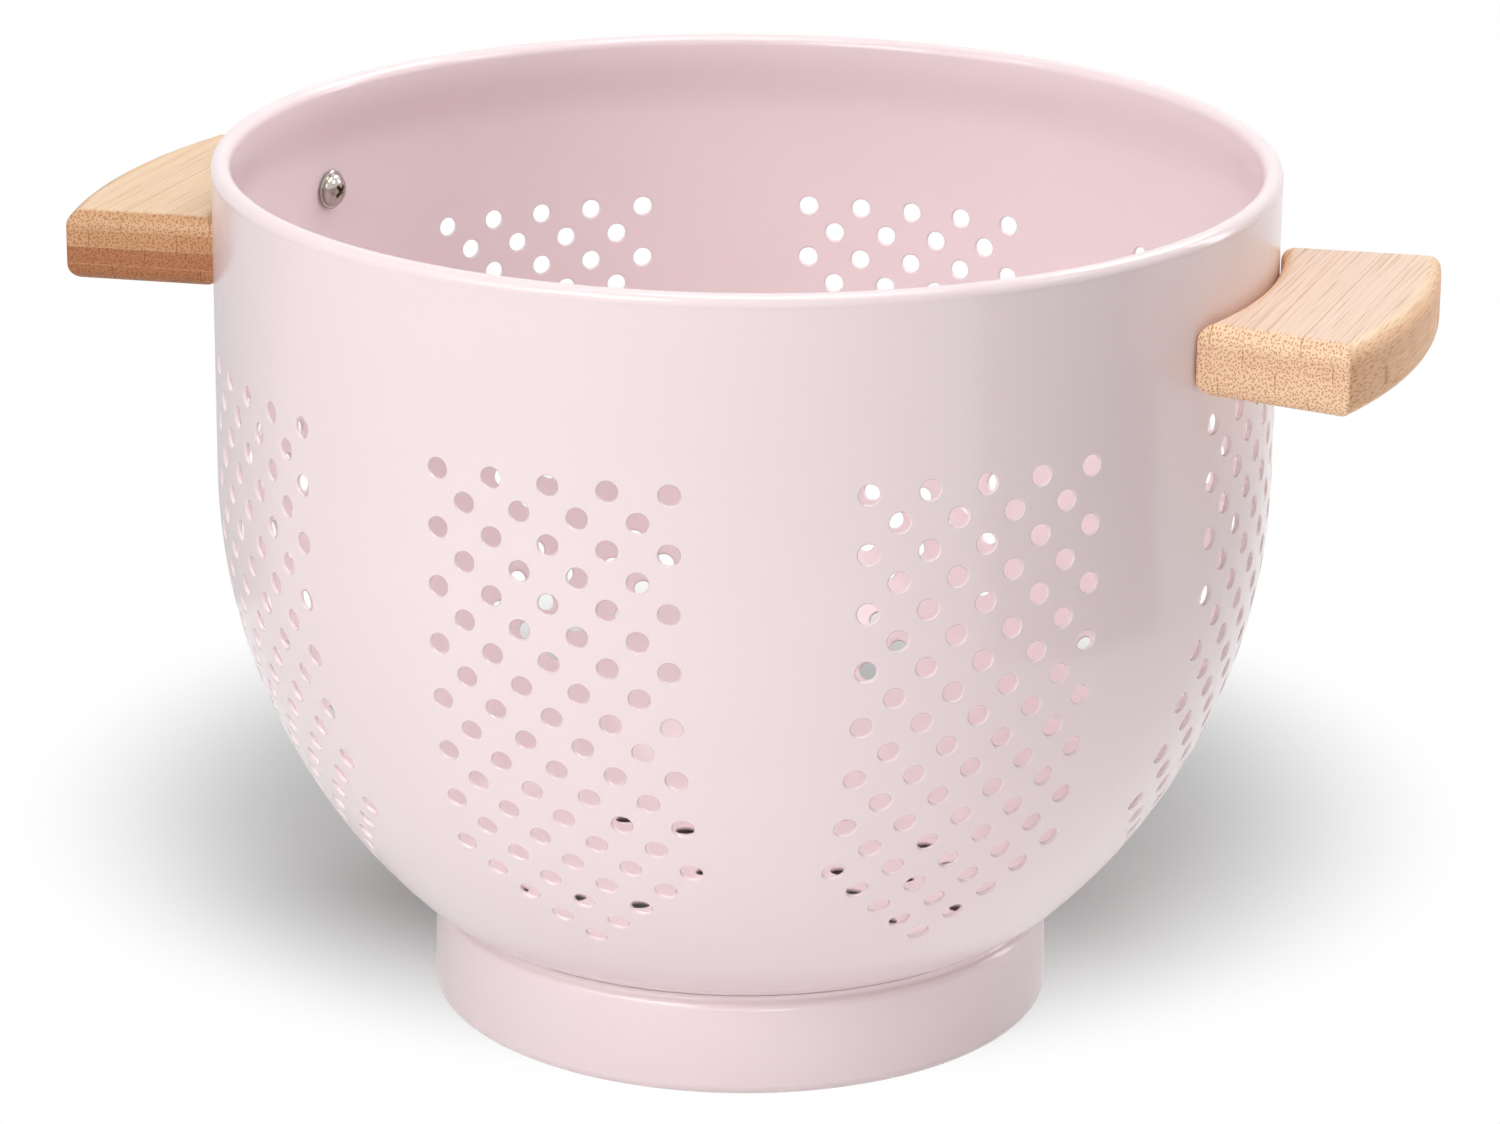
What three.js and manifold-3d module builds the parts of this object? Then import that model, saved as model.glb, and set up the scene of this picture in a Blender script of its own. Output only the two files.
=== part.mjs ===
// A footed colander: a perforated steel bowl with a rolled rim, a steel foot ring under it and two
// bamboo side handles. Each handle is held by two cross-head screws, driven from inside the bowl
// into brass inserts. Millimetres, +Z up, with the origin on the table under the middle of the
// foot ring and the handles along X.
import * as THREE from 'three';
import { mergeVertices } from 'three/addons/utils/BufferGeometryUtils.js';
import Module from 'manifold-3d';

const wasm = await Module();
wasm.setup();

// Bowl, pressed from one sheet
const WALL_RADIUS = 110.5; // outside of the upright wall
const RIM_HEIGHT = 183.5; // top of the rim above the table
const SHEET = 1.0;
const WALL_FOOT = 117.2; // height where the upright wall runs into the side curve
const SIDE_CURVE = 125;
const BASE_CURVE = 30;
const BOTTOM_HEIGHT = 19; // underside of the flat bottom
const RIM_BEAD = 2.1; // radius of the rolled edge
const RIM_PROUD = 0.3; // the rolled edge past the outside of the wall
const RIM_HEM = 6; // depth over which the rolled edge runs into the inside of the wall

// Holes: eight panels in the side, one under each handle, and rings in the bottom
const HOLE_DIAMETER = 4.2;
const HOLE_PITCH = 6; // between neighbouring columns, and between neighbouring rows
const TOP_ROW_DROP = 15.3; // from the screws down to the top row
const PANELS = 8;
const SIDE_COLUMNS = 4; // columns on each side of a panel's middle column
const LAST_ROW = 18; // of the middle column, counted from 0
const BOTTOM_RINGS = 4;
const BOTTOM_RING_PITCH = 12;
const BOTTOM_RING_HOLES = 6; // in the first ring, and added with each further ring

// Foot ring, bent from a strip
const FOOT_RADIUS = 66;
const FOOT_TAPER = 0.5; // narrower at the top by this much
const FOOT_SHEET = 1.2;
const FOOT_ROLL = 2.4; // outside radius of the turned-in bottom edge
const FOOT_SHOULDER = 1.2; // rounding at the top edge
const FOOT_LEDGE = 5; // width of the turned-in bottom edge

// Handles, and the screws that hold them
const HANDLE_DEPTH = 33; // from the wall outwards
const HANDLE_THICKNESS = 15;
const HANDLE_DROP = 24.5; // from the top of the rim down to the handle's mid plane and its screws
const HANDLE_LENGTH = 76; // along the outer arc's chord
const HANDLE_FLARE = 10.4; // the outer arc longer than the inner one
const HANDLE_EDGE = 3.5; // rounding of the edges
const SCREW_MARGIN = 6.8; // from a handle's inner corner to its screw, across the handle
const SCREW_DIAMETER = 4;
const SCREW_LENGTH = 12;
const SCREW_TIP = 1;
const HEAD_DIAMETER = 8.5;
const HEAD_HEIGHT = 2.7;
const HEAD_EDGE = 0.6; // height of the upright edge under the dome
const RECESS_SPAN = 4.4;
const RECESS_SLOT = 0.9;
const RECESS_DEPTH = 1.5;
const INSERT_DIAMETER = 6.4;
const INSERT_LENGTH = 10;
const INSERT_GROOVE = 0.5;

// Heights and lengths that follow from these
const HANDLE_MIDDLE = RIM_HEIGHT - HANDLE_DROP;
const TOP_ROW_HEIGHT = HANDLE_MIDDLE - TOP_ROW_DROP;
const HANDLE_INNER_LENGTH = HANDLE_LENGTH - HANDLE_FLARE;
const SCREW_SPACING = HANDLE_INNER_LENGTH - 2 * SCREW_MARGIN;

// Clearances
const SEAT = 0.3; // between pieces that rest on each other
const FIT = 0.3; // round a screw or an insert in its hole
const HEAD_SEAT = 0.4; // under a flat screw head on the round wall
const TIP_ROOM = 2; // in the handle, past the end of the insert

// How finely round shapes are divided
const HOLE_SIDES = 3;
const SCREW_HOLE_SIDES = 8;
const RIM_POINTS = 64;
const BASE_POINTS = 24;
const SPREAD_STEPS = 40;
const FOOT_SEGMENTS = 48;
const ARC_STEPS = 4;
const HANDLE_STEPS = 6; // in each half of a handle's long arcs
const ROUND_SIDES = 16;
const MERGE = 1e-4;
const TIE = 1e-9; // points this near a circle, by share of its area, count as outside it

const enamel = new THREE.MeshStandardMaterial({ color: 0xecd6d8, roughness: 0.3, metalness: 0 });
const bamboo = new THREE.MeshStandardMaterial({ color: 0xe2bd92, roughness: 0.6, metalness: 0 });
const steel = new THREE.MeshStandardMaterial({ color: 0xb9b4ae, roughness: 0.25, metalness: 1 });
const brass = new THREE.MeshStandardMaterial({ color: 0xc9a45c, roughness: 0.35, metalness: 1 });

// A closed three.js geometry as a solid that can be cut, and the way back.
function toSolid(geometry) {
  const bare = geometry.clone();
  bare.deleteAttribute('normal');
  bare.deleteAttribute('uv');
  const merged = mergeVertices(bare, MERGE);
  const corners = merged.index.array;
  const triVerts = [];
  for (let i = 0; i < corners.length; i += 3) {
    const [a, b, c] = corners.slice(i, i + 3);
    if (a !== b && b !== c && c !== a) {
      triVerts.push(a, b, c);
    }
  }
  return new wasm.Manifold(new wasm.Mesh({
    numProp: 3,
    vertProperties: new Float32Array(merged.attributes.position.array),
    triVerts: new Uint32Array(triVerts),
  }));
}

function toGeometry(solid) {
  const { vertProperties, triVerts } = solid.getMesh();
  return indexedGeometry(vertProperties, triVerts);
}

function indexedGeometry(positions, triangles) {
  const geometry = new THREE.BufferGeometry();
  geometry.setAttribute('position', new THREE.Float32BufferAttribute(positions, 3));
  geometry.setIndex(Array.from(triangles));
  geometry.computeVertexNormals();
  return geometry;
}

// A turned solid from its profile, as [radius, height] pairs from the axis back to the axis, or a
// closed ring.
function turned(profile, segments) {
  const points = profile.map(([radius, height]) => new THREE.Vector2(radius, height));
  const lathe = new THREE.LatheGeometry(points, segments);
  lathe.rotateX(Math.PI / 2);
  return toSolid(lathe);
}

// Points on an arc in a profile, from one angle to another.
function arc(centreR, centreZ, radius, from, to, steps) {
  return Array.from({ length: steps + 1 }, (_, i) => {
    const angle = from + ((to - from) * i) / steps;
    return [centreR + radius * Math.cos(angle), centreZ + radius * Math.sin(angle)];
  });
}

// The bowl's sheet, followed from the middle of the bottom outwards: a flat disc, the base curve,
// the side curve and the upright wall, each running smoothly into the next.
const sideCentre = { r: WALL_RADIUS - SIDE_CURVE, z: WALL_FOOT };
const baseCentreZ = BOTTOM_HEIGHT + BASE_CURVE;
const curveTurn = Math.asin((WALL_FOOT - baseCentreZ) / (SIDE_CURVE - BASE_CURVE));
const baseCentre = { r: sideCentre.r + (SIDE_CURVE - BASE_CURVE) * Math.cos(curveTurn), z: baseCentreZ };
const flatEnd = baseCentre.r;
const baseEnd = flatEnd + BASE_CURVE * (Math.PI / 2 - curveTurn);
const sideEnd = baseEnd + SIDE_CURVE * curveTurn;
const bead = { r: WALL_RADIUS + RIM_PROUD - RIM_BEAD, z: RIM_HEIGHT - RIM_BEAD };
const wallEnd = sideEnd + bead.z - RIM_HEM - WALL_FOOT;

// A point on one of the sheet's curves, by the angle at which the sheet faces downwards there.
function onCurve(centre, radius, down) {
  return { r: centre.r + radius * Math.cos(down), z: centre.z - radius * Math.sin(down), down };
}

// The outside of the sheet at a distance along it: radius, height and how far it faces downwards.
function sheetAt(distance) {
  if (distance <= flatEnd) {
    return { r: distance, z: BOTTOM_HEIGHT, down: Math.PI / 2 };
  }
  if (distance <= baseEnd) {
    return onCurve(baseCentre, BASE_CURVE, Math.PI / 2 - (distance - flatEnd) / BASE_CURVE);
  }
  if (distance <= sideEnd) {
    return onCurve(sideCentre, SIDE_CURVE, curveTurn - (distance - baseEnd) / SIDE_CURVE);
  }
  return { r: WALL_RADIUS, z: WALL_FOOT + distance - sideEnd, down: 0 };
}

// A point of the sheet, a depth in from its outside.
function sheetPoint({ distance, angle }, depth) {
  const { r, z, down } = sheetAt(distance);
  const radius = r - depth * Math.cos(down);
  return [radius * Math.cos(angle), radius * Math.sin(angle), z + depth * Math.sin(down)];
}

// Where the sheet comes to lie when it is spread flat with all its angles kept.
function spread({ distance, angle }) {
  let radius = distance;
  if (distance > flatEnd) {
    const step = (distance - flatEnd) / SPREAD_STEPS;
    let growth = 0;
    for (let i = 0; i < SPREAD_STEPS; i += 1) {
      growth += step / sheetAt(flatEnd + (i + 0.5) * step).r;
    }
    radius = flatEnd * Math.exp(growth);
  }
  return [radius * Math.cos(angle), radius * Math.sin(angle)];
}

// A hole in the sheet: its corners, round a centre given by distance, angle and an offset across.
function hole(distance, angle, across, radius, sides) {
  const sameArea = radius * Math.sqrt((2 * Math.PI) / (sides * Math.sin((2 * Math.PI) / sides)));
  return Array.from({ length: sides }, (_, i) => {
    const turn = (2 * Math.PI * i) / sides;
    const cornerDistance = distance + sameArea * Math.cos(turn);
    const offset = across + sameArea * Math.sin(turn);
    return { distance: cornerDistance, angle: angle + Math.asin(offset / sheetAt(cornerDistance).r) };
  });
}

function panelHoles(panelAngle) {
  const holes = [];
  const topRow = sideEnd + TOP_ROW_HEIGHT - WALL_FOOT;
  for (let column = -SIDE_COLUMNS; column <= SIDE_COLUMNS; column += 1) {
    const aside = Math.abs(column);
    for (let row = aside % 2; row <= LAST_ROW - aside; row += 2) {
      const distance = topRow - row * HOLE_PITCH;
      holes.push(hole(distance, panelAngle, column * HOLE_PITCH, HOLE_DIAMETER / 2, HOLE_SIDES));
    }
  }
  return holes;
}

function bottomHoles() {
  const holes = [];
  for (let ring = 1; ring <= BOTTOM_RINGS; ring += 1) {
    const count = ring * BOTTOM_RING_HOLES;
    for (let i = 0; i < count; i += 1) {
      const angle = (2 * Math.PI * (i + 0.5)) / count;
      holes.push(hole(ring * BOTTOM_RING_PITCH, angle, 0, HOLE_DIAMETER / 2, HOLE_SIDES));
    }
  }
  return holes;
}

// The screws lie square to the wall, so their angle from the handle's middle follows their spacing.
const screwAngle = Math.asin(SCREW_SPACING / 2 / WALL_RADIUS);
const screwPlaces = [
  { name: 'right_front', side: 0, turn: -screwAngle },
  { name: 'right_back', side: 0, turn: screwAngle },
  { name: 'left_back', side: Math.PI, turn: -screwAngle },
  { name: 'left_front', side: Math.PI, turn: screwAngle },
];

function screwHoles() {
  const distance = sideEnd + HANDLE_MIDDLE - WALL_FOOT;
  return screwPlaces.map(({ side, turn }) =>
    hole(distance, side + turn, 0, SCREW_DIAMETER / 2 + FIT, SCREW_HOLE_SIDES));
}

// Plain points that carry the sheet's shape between the holes.
function plainPoints() {
  const points = [{ distance: 0, angle: 0 }];
  for (const distance of [flatEnd, (flatEnd + baseEnd) / 2, baseEnd]) {
    for (let i = 0; i < BASE_POINTS; i += 1) {
      points.push({ distance, angle: (2 * Math.PI * (i + 0.5)) / BASE_POINTS });
    }
  }
  const stations = 2 * ARC_STEPS;
  for (let panel = 0; panel < PANELS; panel += 1) {
    for (let i = 1; i < stations; i += 1) {
      const distance = baseEnd + ((wallEnd - baseEnd) * i) / stations;
      points.push({ distance, angle: (2 * Math.PI * (panel + 0.5)) / PANELS });
    }
  }
  return points;
}

// Delaunay triangles over flat points, built by adding one point at a time.
function triangulate(flat) {
  const far = 1e3 * Math.max(...flat.map(([x, y]) => Math.hypot(x, y)));
  const all = [...flat, [-far, -far], [far, -far], [0, far]];
  const circled = (a, b, c) => {
    const [ax, ay] = all[a];
    const bx = all[b][0] - ax;
    const by = all[b][1] - ay;
    const cx = all[c][0] - ax;
    const cy = all[c][1] - ay;
    const area = 2 * (bx * cy - by * cx);
    const ux = (cy * (bx * bx + by * by) - by * (cx * cx + cy * cy)) / area;
    const uy = (bx * (cx * cx + cy * cy) - cx * (bx * bx + by * by)) / area;
    return { corners: [a, b, c], x: ax + ux, y: ay + uy, reach: ux * ux + uy * uy };
  };
  let triangles = [circled(flat.length, flat.length + 1, flat.length + 2)];
  flat.forEach(([x, y], index) => {
    const open = new Map();
    triangles = triangles.filter((triangle) => {
      if ((triangle.x - x) ** 2 + (triangle.y - y) ** 2 >= triangle.reach * (1 - TIE)) {
        return true;
      }
      triangle.corners.forEach((from, i) => {
        const to = triangle.corners[(i + 1) % 3];
        if (!open.delete(`${to},${from}`)) {
          open.set(`${from},${to}`, [from, to]);
        }
      });
      return false;
    });
    for (const [from, to] of open.values()) {
      triangles.push(circled(from, to, index));
    }
  });
  const isInner = (corner) => corner < flat.length;
  return triangles.map(({ corners }) => corners).filter((corners) => corners.every(isInner));
}

// The two faces of the perforated sheet, the walls of its holes and the rolled rim.
function bowlGeometry() {
  const panels = Array.from({ length: PANELS }, (_, i) => panelHoles((2 * Math.PI * i) / PANELS));
  const holes = [...panels.flat(), ...bottomHoles(), ...screwHoles()];
  const rim = Array.from({ length: RIM_POINTS }, (_, i) =>
    ({ distance: wallEnd, angle: (2 * Math.PI * i) / RIM_POINTS }));
  const holeBoxes = holes.map((corners) => new THREE.Box2().setFromPoints(
    corners.map((corner) => new THREE.Vector2(...spread(corner)))));
  const clear = plainPoints().filter((point) => {
    const place = new THREE.Vector2(...spread(point));
    return holeBoxes.every((box) => !box.containsPoint(place));
  });
  const plain = [...rim, ...clear];
  const points = [...plain, ...holes.flat()];
  const holeOf = [...plain.map(() => -1), ...holes.flatMap((corners, i) => corners.map(() => i))];
  const net = triangulate(points.map(spread)).filter(([a, b, c]) =>
    holeOf[a] < 0 || holeOf[a] !== holeOf[b] || holeOf[b] !== holeOf[c]);

  const positions = [];
  const triangles = [];
  const inner = points.length;
  points.forEach((point) => positions.push(...sheetPoint(point, 0)));
  points.forEach((point) => positions.push(...sheetPoint(point, SHEET)));
  for (const [a, b, c] of net) {
    triangles.push(a, c, b, inner + a, inner + b, inner + c);
  }
  let first = plain.length;
  for (const corners of holes) {
    corners.forEach((_, i) => {
      const a = first + i;
      const b = first + ((i + 1) % corners.length);
      triangles.push(inner + a, inner + b, b, inner + a, b, a);
    });
    first += corners.length;
  }
  const beadStart = -Math.acos((WALL_RADIUS - bead.r) / RIM_BEAD);
  const rolled = [
    ...arc(bead.r, bead.z, RIM_BEAD, beadStart, 0, 1),
    ...arc(bead.r, bead.z, RIM_BEAD, 0, Math.PI, ARC_STEPS).slice(1),
  ];
  const loops = [0];
  for (const [radius, height] of rolled) {
    loops.push(positions.length / 3);
    rim.forEach(({ angle }) => positions.push(radius * Math.cos(angle), radius * Math.sin(angle), height));
  }
  loops.push(inner);
  for (let k = 0; k + 1 < loops.length; k += 1) {
    for (let i = 0; i < rim.length; i += 1) {
      const next = (i + 1) % rim.length;
      const [a, b, c, d] = [loops[k] + i, loops[k] + next, loops[k + 1] + next, loops[k + 1] + i];
      triangles.push(a, b, c, a, c, d);
    }
  }
  return indexedGeometry(positions, triangles);
}

// The underside of the bowl's base curve at a radius, where the foot ring is welded on.
function baseUnderside(radius) {
  return baseCentre.z - Math.sqrt(BASE_CURVE ** 2 - (radius - baseCentre.r) ** 2);
}

// A strip with its bottom edge turned in for the flat resting face and its top edge against the bowl.
function footRingGeometry() {
  const top = FOOT_RADIUS - FOOT_TAPER;
  const shoulder = top - FOOT_SHOULDER;
  const topHeight = baseUnderside(shoulder) - SEAT;
  const roll = FOOT_RADIUS - FOOT_ROLL;
  const innerTop = top - FOOT_SHEET;
  const outside = [
    ...arc(roll, FOOT_ROLL, FOOT_ROLL, -Math.PI / 2, 0, ARC_STEPS),
    ...arc(shoulder, topHeight - FOOT_SHOULDER, FOOT_SHOULDER, 0, Math.PI / 2, ARC_STEPS),
  ];
  const inside = [
    [innerTop, baseUnderside(innerTop) - SEAT],
    ...arc(roll, FOOT_ROLL, FOOT_ROLL - FOOT_SHEET, 0, -Math.PI / 2, ARC_STEPS),
    [roll - FOOT_LEDGE, FOOT_SHEET],
    [roll - FOOT_LEDGE, 0],
  ];
  const profile = [...outside, ...inside];
  return toGeometry(turned([...profile, profile[0]], FOOT_SEGMENTS));
}

// A round cutter lying along the direction of a screw, from one distance to another.
function radialCutter(diameter, turn, from, to) {
  const cylinder = new THREE.CylinderGeometry(diameter / 2, diameter / 2, to - from, ROUND_SIDES);
  cylinder.rotateZ(-Math.PI / 2);
  cylinder.translate((from + to) / 2, 0, 0);
  cylinder.rotateZ(turn);
  return toSolid(cylinder);
}

// A bamboo block that follows the wall inside and a wider arc outside, with straight ends and
// rounded edges, bored for its two inserts.
const handleInner = WALL_RADIUS + SEAT;
const handleOuter = WALL_RADIUS + HANDLE_DEPTH;
const insertStart = handleInner + SEAT;

function handleGeometry() {
  const innerTurn = Math.asin(HANDLE_INNER_LENGTH / 2 / handleInner);
  const outerTurn = Math.asin(HANDLE_LENGTH / 2 / handleOuter);
  const outline = new THREE.Shape();
  outline.absarc(0, 0, handleOuter, -outerTurn, outerTurn, false);
  outline.absarc(0, 0, handleInner, innerTurn, -innerTurn, true);
  const block = new THREE.ExtrudeGeometry(outline, {
    depth: HANDLE_THICKNESS - 2 * HANDLE_EDGE,
    bevelThickness: HANDLE_EDGE,
    bevelSize: HANDLE_EDGE,
    bevelOffset: -HANDLE_EDGE,
    bevelSegments: ARC_STEPS,
    curveSegments: HANDLE_STEPS,
  });
  block.translate(0, 0, HANDLE_EDGE - HANDLE_THICKNESS / 2);
  const boreEnd = insertStart + INSERT_LENGTH + TIP_ROOM;
  const bores = [-screwAngle, screwAngle].map((turn) =>
    radialCutter(INSERT_DIAMETER + 2 * FIT, turn, handleInner - HANDLE_EDGE, boreEnd));
  return toGeometry(toSolid(block).subtract(bores[0].add(bores[1])));
}

// A domed head with a cross recess on a plain shank, the head upwards and its seat at height 0.
function screwGeometry() {
  const head = HEAD_DIAMETER / 2;
  const shank = SCREW_DIAMETER / 2;
  const dome = Array.from({ length: ARC_STEPS + 1 }, (_, i) => {
    const turn = ((Math.PI / 2) * i) / ARC_STEPS;
    return [head * Math.cos(turn), HEAD_EDGE + (HEAD_HEIGHT - HEAD_EDGE) * Math.sin(turn)];
  });
  dome[ARC_STEPS][0] = 0;
  const body = turned([
    [0, -SCREW_LENGTH],
    [shank - SCREW_TIP, -SCREW_LENGTH],
    [shank, SCREW_TIP - SCREW_LENGTH],
    [shank, 0],
    [head, 0],
    ...dome,
  ], ROUND_SIDES);
  const slot = new THREE.BoxGeometry(RECESS_SPAN, RECESS_SLOT, 2 * RECESS_DEPTH);
  slot.translate(0, 0, HEAD_HEIGHT);
  const cross = toSolid(slot).add(toSolid(slot.clone().rotateZ(Math.PI / 2)));
  return toGeometry(body.subtract(cross));
}

// A brass sleeve with two grip grooves round it.
function insertGeometry() {
  const bore = SCREW_DIAMETER / 2 + FIT;
  const outside = INSERT_DIAMETER / 2;
  const land = INSERT_LENGTH / 5;
  const profile = [[bore, 0], [outside, 0]];
  for (const start of [land, 3 * land]) {
    profile.push([outside, start]);
    profile.push([outside - INSERT_GROOVE, start + INSERT_GROOVE]);
    profile.push([outside - INSERT_GROOVE, start + land - INSERT_GROOVE]);
    profile.push([outside, start + land]);
  }
  profile.push([outside, INSERT_LENGTH], [bore, INSERT_LENGTH], [bore, 0]);
  return toGeometry(turned(profile, ROUND_SIDES));
}

function piece(name, geometry, material) {
  const mesh = new THREE.Mesh(geometry, material);
  mesh.name = name;
  return mesh;
}

const colander = new THREE.Group();
colander.add(piece('bowl', bowlGeometry(), enamel));
colander.add(piece('foot_ring', footRingGeometry(), enamel));

const handleBlock = handleGeometry();
for (const [name, side] of [['right', 0], ['left', Math.PI]]) {
  const handle = piece(`handle_${name}`, handleBlock, bamboo);
  handle.position.z = HANDLE_MIDDLE;
  handle.rotation.z = side;
  colander.add(handle);
}

const screwBody = screwGeometry();
const insertBody = insertGeometry();
for (const { name, side, turn } of screwPlaces) {
  const place = new THREE.Group();
  place.position.z = HANDLE_MIDDLE;
  place.rotation.z = side + turn;
  const screw = piece(`handle_screw_${name}`, screwBody, steel);
  screw.position.x = WALL_RADIUS - SHEET - HEAD_SEAT;
  screw.rotation.y = -Math.PI / 2;
  const insert = piece(`threaded_insert_${name}`, insertBody, brass);
  insert.position.x = insertStart;
  insert.rotation.y = Math.PI / 2;
  place.add(screw, insert);
  colander.add(place);
}

export default colander;
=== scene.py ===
"""Looks of the footed colander: pink enamelled bowl and foot ring, bamboo handles, steel screws.

Sizes are in millimetres and turned into metres where a mesh is made. The frame's +X points
towards the right handle and +Z up, with the table at height 0.
"""

import math

import bmesh
import bpy
import numpy as np
from mathutils import Matrix, Vector
from mathutils.geometry import delaunay_2d_cdt


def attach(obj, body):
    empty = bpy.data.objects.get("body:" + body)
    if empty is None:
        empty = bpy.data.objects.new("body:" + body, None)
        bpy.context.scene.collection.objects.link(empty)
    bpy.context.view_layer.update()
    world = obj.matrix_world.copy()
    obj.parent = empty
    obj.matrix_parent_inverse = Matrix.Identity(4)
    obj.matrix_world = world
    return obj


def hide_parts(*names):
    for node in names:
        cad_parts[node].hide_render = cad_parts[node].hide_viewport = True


MM = 0.001

# Bowl, pressed from one sheet
WALL_RADIUS = 110.5
RIM_HEIGHT = 183.5
SHEET = 1.0
WALL_FOOT = 117.2  # height where the upright wall begins
SIDE_CURVE = 125  # radius of the rounded side below it
BASE_CURVE = 30  # radius of the curve from the side into the flat bottom
BOTTOM_HEIGHT = 19
RIM_BEAD = 2.1  # radius of the rolled edge
RIM_PROUD = 0.1  # how far it stands out from the wall
RIM_HEM = 16  # height over which it runs into the wall's inside

# Drain holes
HOLE_RADIUS = 2.1
HOLE_PITCH = 6  # between rows and between columns of a panel, where every second place has a hole
HOLE_EDGE = 0.35  # rounding where the enamel runs into a hole
TOP_ROW_HEIGHT = 143.7
PANELS = 8
SIDE_COLUMNS = 4  # to each side of a panel's middle column
LAST_ROW = 18  # lowest row of the middle column, counted from 0
BOTTOM_RINGS = 4
BOTTOM_RING_PITCH = 12
BOTTOM_RING_HOLES = 6  # in the first ring, and this many more in each next one

# Foot ring, bent from a strip
FOOT_RADIUS = 66
FOOT_TAPER = 0.5  # by which its top is narrower
FOOT_SHEET = 1.2
FOOT_ROLL = 2.4  # bend at the bottom
FOOT_SHOULDER = 2.2  # bend at the top
FOOT_LEDGE = 5  # width of the turned-in bottom edge
FOOT_LIP = 1.5  # width of the turned-in top edge
FOOT_TOP = 20.7
FOOT_FILLET = 0.9  # enamel run into the corner under the bowl

# Handles and their screws
HANDLE_SEAT = 0.3  # gap to the wall
HANDLE_DEPTH = 33  # from the wall to the outer side
HANDLE_THICKNESS = 15
HANDLE_MIDDLE = 159  # height of the middle
HANDLE_INNER_LENGTH = 65.6
HANDLE_OUTER_LENGTH = 76
HANDLE_EDGE = 3.5  # rounding of the edges along the top and the bottom
HANDLE_CORNER = 0.9  # softening of the upright corners
HANDLE_CORNER_LOSS = 0.8  # share of it that is gone where the rounded edge meets the flat faces
BAMBOO_LAYER = 3.75  # thickness of the boards a handle is glued from
BAMBOO_STRIP = 19.0  # width of the strips in a board
BAMBOO_SHIFT = 7.0  # the strips of a board aside from those below
BAMBOO_GLUE = 0.22
BAMBOO_SANDED = 0.05  # sanded off the top board, so that no glue line lies in a flat face
BAMBOO_BUNDLES = 1.5  # fibre bundles in each millimetre
BAMBOO_APART = 200  # how far off the left handle's grain is taken, for each radian of its turn
SCREW_SPACING = 52
SCREW_DIAMETER = 4
SCREW_LENGTH = 12  # under the head
SCREW_TIP = 1  # chamfer
HEAD_DIAMETER = 8.5
HEAD_HEIGHT = 2.7
HEAD_EDGE = 0.6  # height of the flange under the dome
HEAD_CHAMFER = 0.15
DOME_DIAMETER = 7.3
HEAD_SEAT = 0.4  # from the wall's inside to the head
RECESS_OVERCUT = 1  # how far above the head the cut of the cross starts
RECESS_SPAN = 4.4  # from tip to tip where the cut starts
RECESS_SLOT = 1.2  # width of the arms there
RECESS_TURN = 40  # degrees
RECESS_DEPTH = 1.5
RECESS_NARROWING = 0.55  # size at the bottom as a share of that at the start

# How finely the meshes are divided
HOLE_SIDES = 20
ROUND_SEGMENTS = 192
SHEET_STEP = 4.0
SHEET_MULTIPLE = 6  # the points in a ring of the sheet are a multiple of this
SHEET_CLEAR = 3  # they keep off the holes by this many of the holes' roundings
SHEET_JOIN = 1e-7  # points nearer to each other than this are one
ARC_STEPS = 8
HANDLE_ARC_STEPS = 40
HEAD_SEGMENTS = 48
SPREAD_STEPS = 4000  # along the sheet, to spread it flat
SHARP_ANGLE = 35  # degrees from which an edge of a screw is sharp

# Table and room: lengths in metres, greys from 0 to 255
TABLE_REACH = 30.0
TABLE_GREY = 236  # the table as it lights the object
PAINTED_SHADOW_GREY = 196  # painted shadow: the table's darker grey as the camera sees it, deepening the lamps' shadow in the disc
PAINTED_SHADOW_BACK = 0.11  # middle of the table's disc of painted shadow, behind the object as the camera sees it
PAINTED_SHADOW_NEAR = 0.09  # radius up to which the disc shows its whole shadow, the lamps' and the painted
PAINTED_SHADOW_FAR = 0.175  # radius from which the table is plain white
SHADE_GLOW = 0.03  # share of full white that the table has of its own in the disc
CARD_NEAR = 0.3  # from the object's axis to the two cards beside it, which paint darker reflections on the enamel
CARD_FAR = 1.2
CARD_HEIGHT = 0.002
# painted reflection: the cards' dark grey, seen only in the enamel
PAINTED_REFLECTION_GREY = 20
ROOM_LIGHT = 0.15  # share of full white with which the room lights the object

# Camera, fitted to the photograph: lengths in millimetres, angles in degrees
SENSOR_WIDTH = 36
PICTURE_WIDTH = 1500
FOCAL_PIXELS = 5435.55
CAMERA_BACK = 1092.82
CAMERA_HEIGHT = 458.82
CAMERA_TURN = 19.95
CAMERA_PITCH = 18.4544
CAMERA_YAW = -0.0662
CAMERA_ROLL = -0.5221
CAMERA_SIGHT = 20  # metres


def arc(centre_r, centre_z, radius, start, end, steps):
    """Points of an arc in a profile, angles in degrees."""
    angles = np.radians(np.linspace(start, end, steps + 1))
    return [(centre_r + radius * math.cos(a), centre_z + radius * math.sin(a)) for a in angles]


# The bowl's sheet, followed from the middle of the bottom outwards

SIDE_CENTRE = WALL_RADIUS - SIDE_CURVE
BASE_CENTRE_Z = BOTTOM_HEIGHT + BASE_CURVE
CURVE_TURN = math.asin((WALL_FOOT - BASE_CENTRE_Z) / (SIDE_CURVE - BASE_CURVE))
FLAT_END = SIDE_CENTRE + (SIDE_CURVE - BASE_CURVE) * math.cos(CURVE_TURN)
BASE_END = FLAT_END + BASE_CURVE * (math.pi / 2 - CURVE_TURN)
SIDE_END = BASE_END + SIDE_CURVE * CURVE_TURN
BEAD_R = WALL_RADIUS + RIM_PROUD - RIM_BEAD
BEAD_Z = RIM_HEIGHT - RIM_BEAD
WALL_END = SIDE_END + BEAD_Z - RIM_HEM - WALL_FOOT


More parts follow.
